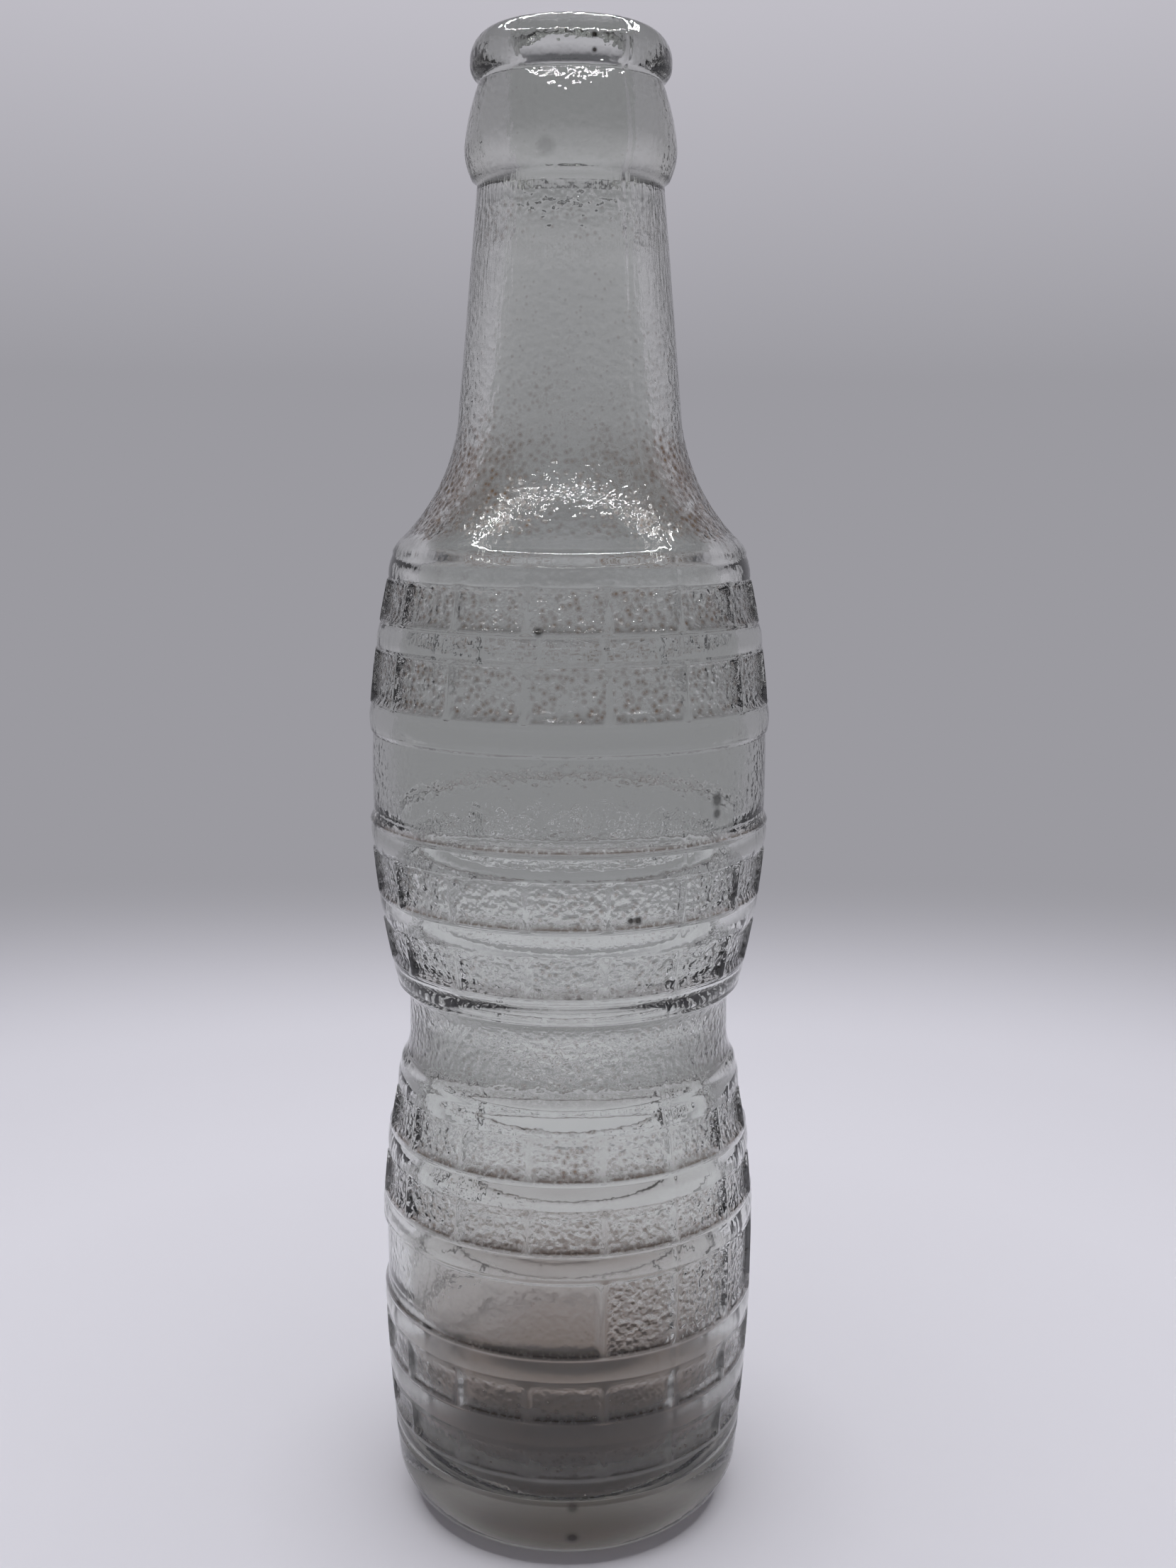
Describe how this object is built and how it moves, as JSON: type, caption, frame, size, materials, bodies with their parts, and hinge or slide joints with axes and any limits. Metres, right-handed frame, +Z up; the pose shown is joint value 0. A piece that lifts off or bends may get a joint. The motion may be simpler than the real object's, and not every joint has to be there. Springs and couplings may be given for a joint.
{
  "type": "glass soda bottle",
  "caption": "Clear glass soda bottle with a crown-cap lip, bulb collar, short neck and a waisted barrel body wrapped in raised hoops and stave ribs around sunk windows.",
  "frame": {"origin": "on the bottle's axis, at the level of the foot ring it stands on", "axes": "+Z up along the bottle's axis towards the mouth, -Y towards the pictured side"},
  "size_m": [0.0558, 0.0558, 0.206],
  "materials": {
    "clear_glass": "clear pressed-and-blown flint glass, fire-polished lip and neck, pebbled rows"
  },
  "bodies": {
    "root": {"glass_bottle": "clear_glass"}
  },
  "joints": []
}
